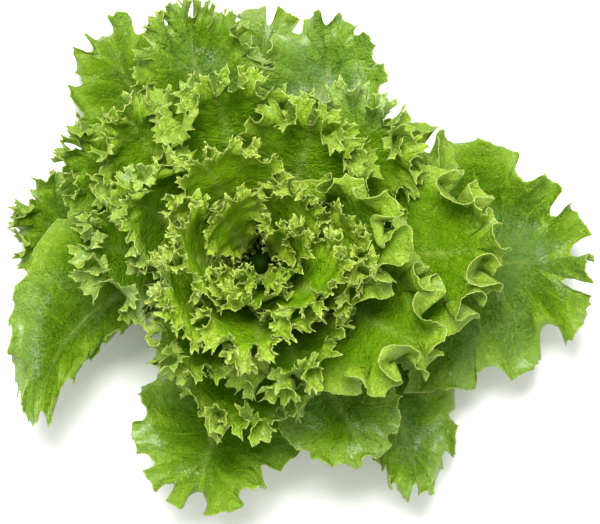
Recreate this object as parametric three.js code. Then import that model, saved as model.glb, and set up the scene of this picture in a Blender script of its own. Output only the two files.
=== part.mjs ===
// A head of lollo bionda lettuce, cut at the stem and standing on the cut.
// Millimetres, +Z up. The origin is the middle of the stem's cut face.
//
// Every leaf grows from the stem along its own surface of revolution. The
// surfaces are nested like bowls, the lowest leaf's outermost, so the leaves
// can wave inside the room between two bowls and never touch.
import * as THREE from "three";

// The stem: a short stump that narrows to the growing point.
const CUT_RADIUS = 16.5;
const STUMP_RADIUS = 18;
const FOOT_HEIGHT = 2.5;
const STUMP_HEIGHT = 12;
const SHOULDER_RADIUS = 15.5;
const SHOULDER_HEIGHT = 24;
const CROWN_RADIUS = 5;
const CROWN_HEIGHT = 62;
const TIP_HEIGHT = 66;
const STEM_SIDES = 40;
const TIP_STEPS = 4;

// Where the leaves leave the stem, from the lowest to the innermost.
const LOWEST_ROOT = 9;
const HIGHEST_ROOT = 58;
const STEM_GAP = 0.3;

// How steeply a leaf sets off, and how far it arches over along its length.
const LOWEST_RISE = 6;
const HIGHEST_RISE = 82;
const RISE_POWER = 0.76;
const ARCH = 26;
const ARCH_LENGTH = 150;
const SPINE_STEPS = 60;

// A leaf's blade and the rib under it, which thins towards the tip. The ribs
// of the inner leaves are slighter.
const BLADE_THICKNESS = 0.8;
const RIB_THICKNESS = 2.3;
const RIB_TAPER = 1.5;
const LEAST_RIB_SHARE = 0.15;

// A leaf's outline: a stalk at the root, which opens into a fan.
const LOWEST_STALK = 8;
const HIGHEST_STALK = 3;
const FAN_FULLNESS = 2.6;
const TIP_ROUNDING = 0.05;
const TIP_ROUNDING_POWER = 4;

// How far round the stem a leaf may wrap, at its root and further out.
const ROOT_HALF_ANGLE = 24;
const WRAP_HALF_ANGLE = 50;
const WRAP_REACHED_AT = 45;

// The lowest leaf comes no nearer than this to the surface that the head
// stands on, and each further leaf stays a step higher.
const FLOOR_CLEARANCE = 0.5;
const FLOOR_STEP = 1.6;

// The waves of a margin: their height as a share of the room that the
// neighbours leave, their length, how late they set in towards the tip, and
// how far the two sides of a leaf and one leaf and the next are out of step,
// in radians.
const WAVE_SHARE = 0.8;
const WAVE_LENGTH = 34;
const TIP_WAVE_POWER = 6;
const SIDE_PHASE = 1.9;
const LEAF_PHASE = 2.4;

// The leaves that make the outline, from the lowest up: heading in degrees
// from +X, length along the blade and widest half-width. On some the tip bends
// round from the heading, in degrees, or the side towards +heading is wider
// than the other by this share.
const OUTER_LEAVES = [
  { heading: 90, length: 128, halfWidth: 36 },
  { heading: 127, length: 140, halfWidth: 38, bend: -4 },
  { heading: 167, length: 114, halfWidth: 37 },
  { heading: 320, length: 124, halfWidth: 27, bend: -17, lean: 0.4 },
  { heading: 2, length: 150, halfWidth: 66 },
  { heading: 254, length: 110, halfWidth: 43 },
  { heading: 108, length: 128, halfWidth: 36 },
  { heading: 183, length: 124, halfWidth: 40, bend: 34, lean: -0.62 },
  { heading: 70, length: 122, halfWidth: 36, bend: 3 },
  { heading: 299, length: 101, halfWidth: 32 },
  { heading: 148, length: 108, halfWidth: 36 },
  { heading: 33, length: 105, halfWidth: 32 },
];

// The frilled leaves inside them, from the outside in.
const MIDDLE_LEAVES = [
  { heading: 134, length: 104, halfWidth: 40 },
  { heading: 2, length: 118, halfWidth: 50 },
  { heading: 264, length: 90, halfWidth: 36 },
  { heading: 50, length: 104, halfWidth: 42 },
  { heading: 176, length: 98, halfWidth: 33 },
  { heading: 330, length: 106, halfWidth: 44 },
  { heading: 105, length: 104, halfWidth: 42 },
  { heading: 234, length: 84, halfWidth: 29 },
  { heading: 67, length: 92, halfWidth: 44 },
  { heading: 158, length: 96, halfWidth: 38 },
  { heading: 288, length: 90, halfWidth: 36 },
  { heading: 8, length: 94, halfWidth: 36 },
];

// The small leaves of the heart, from the outside in.
const HEART_LEAVES = [
  { heading: 217, length: 84, halfWidth: 34 },
  { heading: 354, length: 82, halfWidth: 34 },
  { heading: 122, length: 86, halfWidth: 38 },
  { heading: 270, length: 88, halfWidth: 36 },
  { heading: 47, length: 64, halfWidth: 28 },
  { heading: 186, length: 84, halfWidth: 34 },
  { heading: 322, length: 82, halfWidth: 34 },
  { heading: 138, length: 62, halfWidth: 42 },
  { heading: 256, length: 72, halfWidth: 30 },
  { heading: 350, length: 62, halfWidth: 27 },
  { heading: 276, length: 52, halfWidth: 23 },
  { heading: 32, length: 48, halfWidth: 20 },
];

const OUTER_GRID = { across: 8, along: 9 };
const INNER_GRID = { across: 6, along: 7 };

const LEAF_COUNT = OUTER_LEAVES.length + MIDDLE_LEAVES.length + HEART_LEAVES.length;
const { degToRad, lerp, smoothstep } = THREE.MathUtils;

// The stem's outline as points of radius and height, foot to tip.
const STEM_OUTLINE = [
  [CUT_RADIUS, 0],
  [STUMP_RADIUS, FOOT_HEIGHT],
  [STUMP_RADIUS, STUMP_HEIGHT],
  [SHOULDER_RADIUS, SHOULDER_HEIGHT],
  [CROWN_RADIUS, CROWN_HEIGHT],
];

// The stem's radius and its outline's direction at a height.
function stemAt(height) {
  const upper = STEM_OUTLINE.findIndex(([, z], i) => i > 0 && z >= height);
  const [lowRadius, low] = STEM_OUTLINE[upper - 1];
  const [highRadius, high] = STEM_OUTLINE[upper];
  const share = (height - low) / (high - low);
  return {
    radius: lerp(lowRadius, highRadius, share),
    direction: new THREE.Vector2(highRadius - lowRadius, high - low).normalize(),
  };
}

// How steeply a leaf of this rank climbs, a distance along it, in radians.
// Rank 0 is the lowest leaf and 1 the innermost.
function climb(rank, distance) {
  const rise = lerp(LOWEST_RISE, HIGHEST_RISE, rank ** RISE_POWER);
  return degToRad(rise - (ARCH * distance) / ARCH_LENGTH);
}

// A leaf's spine in the plane of radius and height.
function spine(rank, length) {
  const height = lerp(LOWEST_ROOT, HIGHEST_ROOT, rank);
  const { radius, direction } = stemAt(height);
  const start = new THREE.Vector2(radius + STEM_GAP, height);
  const step = length / SPINE_STEPS;
  const points = [start];
  for (let i = 0; i < SPINE_STEPS; i++) {
    const angle = climb(rank, (i + 0.5) * step);
    const move = new THREE.Vector2(Math.cos(angle), Math.sin(angle));
    points.push(points[i].clone().addScaledVector(move, step));
  }
  return {
    rootDirection: direction,
    at(distance) {
      const place = distance / step;
      const i = Math.min(Math.floor(place), SPINE_STEPS - 1);
      const angle = climb(rank, distance);
      return {
        point: points[i].clone().lerp(points[i + 1], place - i),
        normal: new THREE.Vector2(-Math.sin(angle), Math.cos(angle)),
      };
    },
  };
}

// A leaf's half-width on one side, -1 or 1, at a share of its length: a narrow
// stalk that opens into a fan and closes round the tip.
function halfWidth(leaf, side, share) {
  const widest = leaf.halfWidth * (1 + (leaf.lean ?? 0) * side);
  const fan = FAN_FULLNESS * share * Math.sqrt(1 - share);
  return widest * fan + leaf.stalk * (1 - share) ** 2;
}

// The room between this leaf's bowl and the next ones', on either side.
function waveRoom(rank, distance) {
  const next = 1 / (LEAF_COUNT - 1);
  const spread = climb(rank + next, distance) - climb(rank, distance);
  return WAVE_SHARE * spread * distance;
}

// A point of a leaf that heads along +X. Across the leaf x runs from -1 to 1,
// along it share runs from 0 to 1, and side is 1 on the upper face and -1 on
// the lower one.
function bladePoint(leaf, path, x, share, side) {
  const reach = share - TIP_ROUNDING * x * x * share ** TIP_ROUNDING_POWER;
  const distance = reach * leaf.length;
  const { point, normal } = path.at(distance);
  const wrap = lerp(ROOT_HALF_ANGLE, WRAP_HALF_ANGLE, smoothstep(distance, 0, WRAP_REACHED_AT));
  const width = Math.min(
    halfWidth(leaf, Math.sign(x), Math.min(reach, 1 - TIP_ROUNDING)),
    degToRad(wrap) * point.x,
  );
  const margin = Math.max(Math.abs(x), share ** TIP_WAVE_POWER);
  const turns = (distance + Math.abs(x) * width) / WAVE_LENGTH;
  const phase = leaf.phase + (x > 0 ? SIDE_PHASE : 0);
  const wave = waveRoom(leaf.rank, distance) * margin ** 2 * Math.sin(2 * Math.PI * turns + phase);
  const rib = x === 0 ? RIB_THICKNESS * (1 - share) ** RIB_TAPER * leaf.ribShare : 0;
  const depth = BLADE_THICKNESS / 2 + (side < 0 ? rib : 0);
  if (share === 0) {
    point.addScaledVector(path.rootDirection, side * depth);
  } else {
    point.addScaledVector(normal, wave + side * depth);
  }
  const floor = leaf.floor + (side > 0 ? BLADE_THICKNESS : 0);
  const turn = (x * width) / path.at(distance).point.x + degToRad(leaf.bend ?? 0) * share ** 2;
  return [point.x * Math.cos(turn), point.x * Math.sin(turn), Math.max(point.y, floor)];
}

// The triangles of a shell: an upper and a lower face, each a grid of points
// row by row, and the rim that joins them.
function shellTriangles(across, rows) {
  const columns = across + 1;
  const perFace = columns * (rows + 1);
  const triangles = [];
  const upper = (column, row) => row * columns + column;
  const lower = (column, row) => upper(column, row) + perFace;
  const quad = (a, b, c, d) => triangles.push(a, b, c, a, c, d);
  const rim = (from, to) => quad(lower(...from), lower(...to), upper(...to), upper(...from));
  for (let row = 0; row < rows; row++) {
    for (let column = 0; column < across; column++) {
      const corners = [
        [column, row],
        [column, row + 1],
        [column + 1, row + 1],
        [column + 1, row],
      ];
      const [a, b, c, d] = corners.map((corner) => lower(...corner));
      quad(...corners.map((corner) => upper(...corner)));
      quad(a, d, c, b);
    }
    rim([0, row], [0, row + 1]);
    rim([across, row + 1], [across, row]);
  }
  for (let column = 0; column < across; column++) {
    rim([column + 1, 0], [column, 0]);
    rim([column, rows], [column + 1, rows]);
  }
  return triangles;
}

// The closed shell of one leaf, which heads along +X.
function leafGeometry(leaf) {
  const { across, along: rows } = leaf.grid;
  const path = spine(leaf.rank, leaf.length);
  const positions = [];
  for (const side of [1, -1]) {
    for (let row = 0; row <= rows; row++) {
      for (let column = 0; column <= across; column++) {
        const x = (2 * column) / across - 1;
        positions.push(...bladePoint(leaf, path, x, row / rows, side));
      }
    }
  }
  const geometry = new THREE.BufferGeometry();
  geometry.setAttribute("position", new THREE.Float32BufferAttribute(positions, 3));
  geometry.setIndex(shellTriangles(across, rows));
  geometry.computeVertexNormals();
  return geometry;
}

// The stem, a lathed stump with a rounded growing point.
function stemMesh(material) {
  const crown = new THREE.EllipseCurve(
    0,
    CROWN_HEIGHT,
    CROWN_RADIUS,
    TIP_HEIGHT - CROWN_HEIGHT,
    0,
    Math.PI / 2,
  );
  const profile = [
    new THREE.Vector2(0, 0),
    ...STEM_OUTLINE.slice(0, -1).map(([radius, z]) => new THREE.Vector2(radius, z)),
    ...crown.getPoints(TIP_STEPS).slice(0, -1),
    new THREE.Vector2(0, TIP_HEIGHT),
  ];
  const mesh = new THREE.Mesh(new THREE.LatheGeometry(profile, STEM_SIDES), material);
  mesh.name = "stem";
  mesh.rotation.x = Math.PI / 2;
  return mesh;
}

// Every leaf's sizes, from the lowest to the innermost.
function leafPlan() {
  const named = (leaves, group, grid) =>
    leaves.map((leaf, i) => ({
      ...leaf,
      group,
      grid,
      name: `${group}_leaf_${String(i + 1).padStart(2, "0")}`,
    }));
  return [
    ...named(OUTER_LEAVES, "outer", OUTER_GRID),
    ...named(MIDDLE_LEAVES, "middle", INNER_GRID),
    ...named(HEART_LEAVES, "heart", INNER_GRID),
  ].map((leaf, i) => {
    const rank = i / (LEAF_COUNT - 1);
    return {
      ...leaf,
      rank,
      stalk: lerp(LOWEST_STALK, HIGHEST_STALK, rank),
      ribShare: lerp(1, LEAST_RIB_SHARE, rank),
      phase: i * LEAF_PHASE,
      floor: FLOOR_CLEARANCE + i * FLOOR_STEP,
    };
  });
}

const finish = (color, roughness) =>
  new THREE.MeshStandardMaterial({ color, roughness, metalness: 0, side: THREE.DoubleSide });
const MATERIALS = {
  stem: finish(0xd9e3b4, 0.6),
  outer: finish(0x6d9e3a, 0.55),
  middle: finish(0x86b237, 0.55),
  heart: finish(0xa6c94d, 0.55),
};

const lettuce = new THREE.Group();
lettuce.add(stemMesh(MATERIALS.stem));
for (const leaf of leafPlan()) {
  const mesh = new THREE.Mesh(leafGeometry(leaf), MATERIALS[leaf.group]);
  mesh.name = leaf.name;
  mesh.rotation.z = degToRad(leaf.heading);
  lettuce.add(mesh);
}

export default lettuce;
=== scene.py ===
"""Lollo bionda lettuce: a loose rosette of thirty-six ruffled leaves on a cut stem.

Each leaf lies on a bowl of its own, and the bowls are nested, so the leaves never meet.
A leaf starts as a flat fan and its margin is then grown: it gets far more length than
lies flat, and the sheet buckles into folds and frills in the room that its neighbours
leave, as the real one does. Inside the leaf classes lengths are millimetres.
"""

import logging
import math
from dataclasses import dataclass, field
from enum import Enum

import bpy
import numpy as np
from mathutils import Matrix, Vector


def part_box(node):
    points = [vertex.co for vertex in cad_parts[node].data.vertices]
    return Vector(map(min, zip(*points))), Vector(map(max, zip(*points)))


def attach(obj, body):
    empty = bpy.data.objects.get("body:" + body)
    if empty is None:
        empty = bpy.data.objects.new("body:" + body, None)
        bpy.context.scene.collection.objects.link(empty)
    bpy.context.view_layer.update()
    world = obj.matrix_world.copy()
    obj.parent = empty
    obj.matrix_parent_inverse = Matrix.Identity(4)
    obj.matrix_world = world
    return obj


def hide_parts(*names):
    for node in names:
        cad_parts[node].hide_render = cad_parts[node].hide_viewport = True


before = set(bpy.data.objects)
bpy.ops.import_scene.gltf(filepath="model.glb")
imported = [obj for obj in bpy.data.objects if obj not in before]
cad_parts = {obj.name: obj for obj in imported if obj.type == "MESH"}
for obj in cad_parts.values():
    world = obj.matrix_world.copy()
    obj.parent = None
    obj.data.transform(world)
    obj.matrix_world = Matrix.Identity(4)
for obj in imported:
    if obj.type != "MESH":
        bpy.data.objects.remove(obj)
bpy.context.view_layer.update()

LOG = logging.getLogger("lettuce")
MM = 0.001
TURN = 2 * math.pi


def srgb(red: int, green: int, blue: int) -> tuple[float, float, float, float]:
    """Turn an sRGB colour into a linear one.

    Args:
        red: The red part, up to 255.
        green: The green part, up to 255.
        blue: The blue part, up to 255.

    Returns:
        The linear colour, with an alpha of 1.
    """
    shares = [value / 255 for value in (red, green, blue)]
    linear = [v / 12.92 if v <= 0.04045 else ((v + 0.055) / 1.055) ** 2.4 for v in shares]
    return (*linear, 1.0)


def smoothstep(value: np.ndarray, low: float, high: float) -> np.ndarray:
    """Return 0 below low, 1 above high and a smooth rise between them."""
    share = np.clip((value - low) / (high - low), 0, 1)
    return share * share * (3 - 2 * share)


def length(vectors: np.ndarray) -> np.ndarray:
    """Return the lengths of the vectors along the last axis."""
    return np.sqrt(np.einsum("...i,...i->...", vectors, vectors)) + 1e-9


# ---------------------------------------------------------------- shader maths


class Value:
    """A number that varies over a surface, carried by a socket."""

    def __init__(self, shader: "Shader", socket: bpy.types.NodeSocket) -> None:
        """Wrap a socket.

        Args:
            shader: The material's graph, which adds the nodes.
            socket: The output that carries the number.
        """
        self.shader = shader
        self.socket = socket

    def maths(self, operation: str, first: object, second: object = 0.0) -> "Value":
        """Add a Math node.

        Args:
            operation: The node's operation.
            first: A number or a value.
            second: A number or a value.

        Returns:
            The node's result.
        """
        settings = {"operation": operation}
        return self.shader.number("ShaderNodeMath", settings, {0: first, 1: second})

    def __add__(self, other: object) -> "Value":
        """Return the sum."""
        return self.maths("ADD", self, other)

    def __radd__(self, other: object) -> "Value":
        """Return the sum, with this value second."""
        return self.maths("ADD", other, self)

    def __sub__(self, other: object) -> "Value":
        """Return the difference."""
        return self.maths("SUBTRACT", self, other)

    def __rsub__(self, other: object) -> "Value":
        """Return the difference, with this value second."""
        return self.maths("SUBTRACT", other, self)

    def __mul__(self, other: object) -> "Value":
        """Return the product."""
        return self.maths("MULTIPLY", self, other)

    def __rmul__(self, other: object) -> "Value":
        """Return the product, with this value second."""
        return self.maths("MULTIPLY", other, self)

    def triangle(self) -> "Value":
        """Return the distance to the nearest whole number, from 0 to a half."""
        return self.maths("PINGPONG", self, 0.5)

    def step(self, low: float, high: float) -> "Value":
        """Add a smooth rise, or a fall where high is less than low.

        Args:
            low: Where the result is 0.
            high: Where the result is 1.

        Returns:
            The result, from 0 to 1.
        """
        start, end = (0.0, 1.0) if high > low else (1.0, 0.0)
        inputs = {"Value": self, "From Min": min(low, high), "From Max": max(low, high)}
        inputs |= {"To Min": start, "To Max": end}
        settings = {"interpolation_type": "SMOOTHSTEP"}
        return self.shader.number("ShaderNodeMapRange", settings, inputs)


class Shader:
    """The node graph of one material."""

    def __init__(self, name: str) -> None:
        """Make an empty material.

        Args:
            name: The material's name.
        """
        self.material = bpy.data.materials.new(name)
        self.material.use_nodes = True
        self.tree = self.material.node_tree
        self.tree.nodes.clear()

    def node(self, kind: str, settings: dict, inputs: dict) -> bpy.types.Node:
        """Add a node.

        Args:
            kind: The node's type.
            settings: Its properties, which are set first.
            inputs: A number, colour, socket or value for each input, by name or index.

        Returns:
            The node.
        """
        node = self.tree.nodes.new(kind)
        for name, value in settings.items():
            setattr(node, name, value)
        for key, value in inputs.items():
            if isinstance(value, Value):
                self.tree.links.new(value.socket, node.inputs[key])
            elif isinstance(value, bpy.types.NodeSocket):
                self.tree.links.new(value, node.inputs[key])
            else:
                node.inputs[key].default_value = value
        return node

    def number(self, kind: str, settings: dict, inputs: dict, output: object = 0) -> Value:
        """Add a node that gives a number.

        Args:
            kind: The node's type.
            settings: Its properties.
            inputs: Its inputs, by name or index.
            output: The name or index of the output that is used.

        Returns:
            The number.
        """
        return Value(self, self.node(kind, settings, inputs).outputs[output])

    def attribute(self, name: str) -> Value:
        """Return a number that the mesh keeps for each point."""
        return self.number("ShaderNodeAttribute", {"attribute_name": name}, {}, "Fac")

    def noise(self, scale: float, detail: float = 2.0, roughness: float = 0.5) -> Value:
        """Add noise over the object's own coordinates.

        Args:
            scale: The number of features in a metre.
            detail: The number of finer layers.
            roughness: How strong the finer layers are.

        Returns:
            The noise, about 0.5 on average.
        """
        place = self.node("ShaderNodeTexCoord", {}, {}).outputs["Object"]
        inputs = {"Vector": place, "Scale": scale, "Detail": detail, "Roughness": roughness}
        return self.number("ShaderNodeTexNoise", {}, inputs, "Fac")

    def cells(self, scale: float, feature: str) -> Value:
        """Scatter cells through the object.

        Args:
            scale: The number of cells in a metre.
            feature: F1 or SMOOTH_F1 for domes, or DISTANCE_TO_EDGE for the lines between cells.

        Returns:
            The distance to the middle or to the edge of the cell.
        """
        place = self.node("ShaderNodeTexCoord", {}, {}).outputs["Object"]
        inputs = {"Vector": place, "Scale": scale}
        return self.number("ShaderNodeTexVoronoi", {"feature": feature}, inputs, "Distance")

    def blend(self, first: object, second: object, share: object) -> bpy.types.NodeSocket:
        """Mix two colours.

        Args:
            first: The colour where share is 0.
            second: The colour where share is 1.
            share: A number or a value.

        Returns:
            The mixed colour.
        """
        mixed = self.node("ShaderNodeMix", {"data_type": "RGBA"}, {0: share, 6: first, 7: second})
        return mixed.outputs[2]

    def bump(self, height: Value, distance: float, strength: float) -> bpy.types.NodeSocket:
        """Turn a height into a normal.

        Args:
            height: The height, where 1 is the whole distance.
            distance: How high 1 is, in metres.
            strength: How much of it shows.

        Returns:
            The normal.
        """
        inputs = {"Height": height, "Distance": distance, "Strength": strength}
        return self.node("ShaderNodeBump", {}, inputs).outputs["Normal"]

    def surface(self, shader: bpy.types.NodeSocket) -> bpy.types.Material:
        """Finish the graph with its output and return the material."""
        self.node("ShaderNodeOutputMaterial", {}, {"Surface": shader})
        return self.material


# ---------------------------------------------------------------- finishes


@dataclass(frozen=True)
class LeafFinish:
    """The skin of a leaf: green blade, brighter frill, pale cut edge, veins, rib and painted
    sheen.

    Attributes:
        name: The material's name.
        depth: The darkest green of the blade, where it is mottled.
        blade: Its usual green.
        frill: The green of the margin, and of the veins where they show.
        edge: The cut edge, and the flecks beside it.
        rib: The midrib.
        painted_sheen: A painted sheen, the sky's pale bluish reflection off the wax, in patches.
        frill_reach: How far in from the margin the frill's green goes, in millimetres.
        sheen_reach: How far in from the margin the painted sheen goes, in millimetres.
        sheen_share: How much of the green the painted sheen hides.
        light_through: The light that comes through the blade.
        roughness: How dull the blade is.
        glow: How much of its light comes through it.
        side_veins: The number of side veins round the leaf.
    """

    name: str
    depth: tuple[int, int, int]
    blade: tuple[int, int, int]
    frill: tuple[int, int, int]
    edge: tuple[int, int, int]
    rib: tuple[int, int, int]
    painted_sheen: tuple[int, int, int]
    frill_reach: float
    sheen_reach: float
    sheen_share: float
    roughness: float = 0.32
    light_through: tuple[int, int, int] = (140, 204, 18)
    glow: float = 0.28
    side_veins: int = 22

    def build(self) -> bpy.types.Material:
        """Make the material.

        Returns:
            The material, which reads the leaf's UV map and its edge, rib and under values.
        """
        shader = Shader(self.name)
        place = shader.node("ShaderNodeUVMap", {"uv_map": "leaf"}, {}).outputs[0]
        parts = shader.node("ShaderNodeSeparateXYZ", {}, {"Vector": place})
        along = Value(shader, parts.outputs["X"])
        inward = Value(shader, parts.outputs["Y"])
        edge = shader.attribute("edge")
        rib = shader.attribute("rib")
        under = shader.attribute("under")

        patches = shader.noise(14.0, 2.0)
        clouds = shader.noise(38.0, 3.0)
        mottle = shader.noise(170.0, 3.0, 0.65)
        grain = shader.noise(900.0, 2.0, 0.6)
        wander = (shader.noise(60.0, 3.0) - 0.5) * 0.045
        ranks = (along + wander) * self.side_veins
        main_veins = ranks.triangle().step(0.06, 0.0) * inward.step(0.03, 0.3)
        twigs = ((along + wander * 1.6) * (self.side_veins * 3)).triangle().step(0.12, 0.0)
        fine_veins = twigs * inward.step(0.75, 0.15) * inward.step(0.0, 0.08)
        net = shader.cells(330.0, "DISTANCE_TO_EDGE").step(0.08, 0.0)
        mesh = shader.cells(850.0, "DISTANCE_TO_EDGE").step(0.16, 0.0)
        veins = main_veins * 0.9 + fine_veins * 0.4 + net * 0.45 + mesh * 0.45

        dark = (clouds * 0.3 + mottle * 0.35 + grain * 0.35).step(0.41, 0.59)
        lit = shader.blend(srgb(*self.depth), srgb(*self.blade), dark)
        fresh = edge.step(self.frill_reach, 1.0) * (0.35 + mottle * 0.8 + grain * 0.5)
        colour = shader.blend(lit, srgb(*self.frill), fresh)
        # Painted sheen: the sky's pale bluish reflection is painted into the colour on the wax
        # patches, which also get a glossier coat.
        wax_and_sheen = (patches * 0.35 + clouds * 0.35 + grain * 0.3).step(0.49, 0.59)
        wax_and_sheen = wax_and_sheen * edge.step(self.sheen_reach, 0.0)
        colour = shader.blend(colour, srgb(*self.painted_sheen), wax_and_sheen * self.sheen_share)
        colour = shader.blend(colour, srgb(*self.frill), veins * 0.6)
        flecks = (mesh * 0.6 + grain * 0.4).step(0.3, 0.8) * edge.step(14.0, 1.0)
        colour = shader.blend(colour, srgb(*self.edge), flecks * 0.4)
        colour = shader.blend(colour, srgb(*self.rib), rib)
        colour = shader.blend(colour, srgb(*self.edge), under * 0.22)
        colour = shader.blend(colour, srgb(*self.edge), edge.step(0.65, 0.15))

        blisters = shader.cells(300.0, "F1").step(0.34, 0.1) * patches.step(0.5, 0.56)
        domes = shader.cells(150.0, "SMOOTH_F1") * 1.4 + shader.noise(420.0, 1.0) * 0.5
        height = clouds * 2.0 + mottle * 1.5 - domes * inward.step(0.0, 0.2) - veins * 0.35
        normal = shader.bump(height + blisters * 0.3 + grain * 0.22, 0.0018, 1.0)
        gloss = self.roughness + (mottle - 0.5) * 0.3 + under * 0.15
        skin_inputs = {"Base Color": colour, "Roughness": gloss, "Normal": normal}
        shine = wax_and_sheen * 0.65 + edge.step(12.0, 0.0) * 0.3
        skin_inputs |= {"IOR": 1.27, "Coat Weight": shine, "Coat Roughness": 0.35}
        skin = shader.node("ShaderNodeBsdfPrincipled", {}, skin_inputs).outputs[0]
        colour_through = {"Color": srgb(*self.light_through)}
        through = shader.node("ShaderNodeBsdfTranslucent", {}, colour_through)
        mixed = {0: self.glow, 1: skin, 2: through.outputs[0]}
        return shader.surface(shader.node("ShaderNodeMixShader", {}, mixed).outputs[0])


@dataclass(frozen=True)
class StemFinish:
    """The stem: pale skin, a milky cut face, rusty leaf scars and a growing point painted in
    shade.

    Attributes:
        name: The material's name.
        skin: The skin below the leaves.
        flesh: The cut face.
        rust: The leaf scars, and the rings of the cut face.
        shaded_crown: The growing point's green, darkened into the painted shade of the hollow at
            the heart.
        roughness: How dull the skin is.
        CUT_LEVELS: Where the skin starts and the cut face ends, above the face, in metres.
        FULL_SHADE: Where the growing point is all painted shade, as a multiple of the shoulder's
            height.
    """

    CUT_LEVELS = (0.0012, 0.0004)
    FULL_SHADE = 1.6

    name: str = "stem_skin"
    skin: tuple[int, int, int] = (176, 192, 110)
    flesh: tuple[int, int, int] = (224, 222, 178)
    rust: tuple[int, int, int] = (150, 104, 58)
    shaded_crown: tuple[int, int, int] = (28, 56, 2)
    roughness: float = 0.55

    def build(self, foot: float, shoulder: float) -> bpy.types.Material:
        """Make the material.

        Args:
            foot: The height of the cut face, in metres.
            shoulder: The height up to which the skin is scarred, in metres.

        Returns:
            The material.
        """
        shader = Shader(self.name)
        place = shader.node("ShaderNodeTexCoord", {}, {}).outputs["Object"]
        parts = shader.node("ShaderNodeSeparateXYZ", {}, {"Vector": place})
        up = Value(shader, parts.outputs["Z"])
        level = {"operation": "MULTIPLY"}
        radial = shader.node("ShaderNodeVectorMath", level, {0: place, 1: (1, 1, 0)})
        spread = {"operation": "LENGTH"}
        radius = shader.number("ShaderNodeVectorMath", spread, {0: radial.outputs[0]}, "Value")
        mottle = shader.noise(180.0, 4.0, 0.6)
        scars = shader.noise(60.0, 2.0).step(0.56, 0.7) * up.step(shoulder, foot)
        # Painted shade: above the shoulder the growing point is painted dark green for the shade
        # in the heart's hollow.
        crown_shade = up.step(shoulder, shoulder * self.FULL_SHADE)
        cut = up.step(*(foot + level for level in self.CUT_LEVELS))
        rings = (radius * 320.0 + mottle * 1.2).triangle().step(0.2, 0.5)
        colour = shader.blend(srgb(*self.skin), srgb(*self.rust), scars * 0.75)
        colour = shader.blend(colour, srgb(*self.shaded_crown), crown_shade)
        face = shader.blend(srgb(*self.flesh), srgb(*self.rust), rings * 0.16 + mottle * 0.22)
        colour = shader.blend(colour, face, cut)
        normal = shader.bump(mottle + rings * cut * 0.3, 0.0012, 0.6)
        inputs = {"Base Color": colour, "Normal": normal}
        inputs |= {"Roughness": self.roughness + mottle * 0.15, "IOR": 1.15}
        return shader.surface(shader.node("ShaderNodeBsdfPrincipled", {}, inputs).outputs[0])


@dataclass(frozen=True)
class FloorFinish:
    """The plain pale floor, with a slightly paler second tone."""

    name: str = "pale_floor"
    colour: tuple[int, int, int] = (244, 244, 242)
    paler: tuple[int, int, int] = (250, 250, 248)

    def build(self) -> bpy.types.Material:
        """Make the material.

        Returns:
            The material.
        """
        shader = Shader(self.name)
        tone = shader.blend(srgb(*self.colour), srgb(*self.paler), shader.noise(3.0))
        inputs = {"Base Color": tone, "Roughness": 0.85}
        return shader.surface(shader.node("ShaderNodeBsdfPrincipled", {}, inputs).outputs[0])


# ---------------------------------------------------------------- leaves


@dataclass(frozen=True)
class Frill:
    """How the margin of a leaf is shaped and ruffled, in millimetres.

    Attributes:
        density: How many columns the mesh has for each millimetre of flat margin.
        lobes: The distance between lobes on the flat leaf and the depth of the bays between
            them, both as a share of its half width, and the width of a bay as a share of the
            distance.
        cuts: The same for the small cuts of the grown margin, but in millimetres.
        wave_pitch: The distance between the large folds.
        wave_growth: The extra length of the margin in them, as a share.
        wave_reach: How far in the large folds go, as a share of the half width.
        curls: The extra length in each size of frill and how far in it reaches, coarse to fine.
        tooth_pitch: The distance between teeth along the grown margin.
        tooth_height: The height of a tooth as a share of its pitch.
        cup: How far the margin leans in over the upper face.
    """

    density: float
    lobes: tuple[float, float, float]
    cuts: tuple[float, float, float]
    wave_pitch: float
    wave_growth: float
    wave_reach: float
    curls: tuple[tuple[float, float], ...]
    tooth_pitch: float
    tooth_height: float
    cup: float


class Ring(Enum):
    """Where a leaf stands, from the outside in."""

    OUTER = "outer"
    MIDDLE = "middle"
    HEART = "heart"


class Ruffle(Enum):
    """The ways in which a leaf's margin is ruffled, from coarse to dense."""

    LOBED = Frill(
        density=3.6,
        lobes=(0.44, 0.24, 0.42),
        cuts=(18.0, 1.5, 0.4),
        wave_pitch=30.0,
        wave_growth=0.6,
        wave_reach=0.26,
        curls=((0.15, 9), (0.2, 6), (0.15, 4), (0.1, 3)),
        tooth_pitch=8.0,
        tooth_height=0.2,
        cup=2.0,
    )
    BROAD = Frill(
        density=4.8,
        lobes=(0.4, 0.08, 0.35),
        cuts=(24.0, 1.5, 0.4),
        wave_pitch=32.0,
        wave_growth=2.1,
        wave_reach=0.4,
        curls=((0.4, 9), (0.25, 6), (0.1, 4), (0.05, 3)),
        tooth_pitch=9.0,
        tooth_height=0.22,
        cup=9.0,
    )
    FINE = Frill(
        density=6.4,
        lobes=(0.45, 0.2, 0.35),
        cuts=(9.0, 3.5, 0.4),
        wave_pitch=18.0,
        wave_growth=1.9,
        wave_reach=0.32,
        curls=((0.5, 8), (0.9, 5), (1.1, 3.4), (1.1, 2.2)),
        tooth_pitch=4.0,
        tooth_height=0.75,
        cup=9.0,
    )
    DENSE = Frill(
        density=7.8,
        lobes=(0.5, 0.22, 0.35),
        cuts=(7.0, 2.4, 0.4),
        wave_pitch=13.0,
        wave_growth=1.1,
        wave_reach=0.24,
        curls=((0.5, 6), (1.1, 4), (1.6, 2.7), (1.9, 1.8)),
        tooth_pitch=3.0,
        tooth_height=0.9,
        cup=5.0,
    )


USUAL_RUFFLE = {Ring.OUTER: Ruffle.LOBED, Ring.MIDDLE: Ruffle.FINE, Ring.HEART: Ruffle.DENSE}


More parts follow.
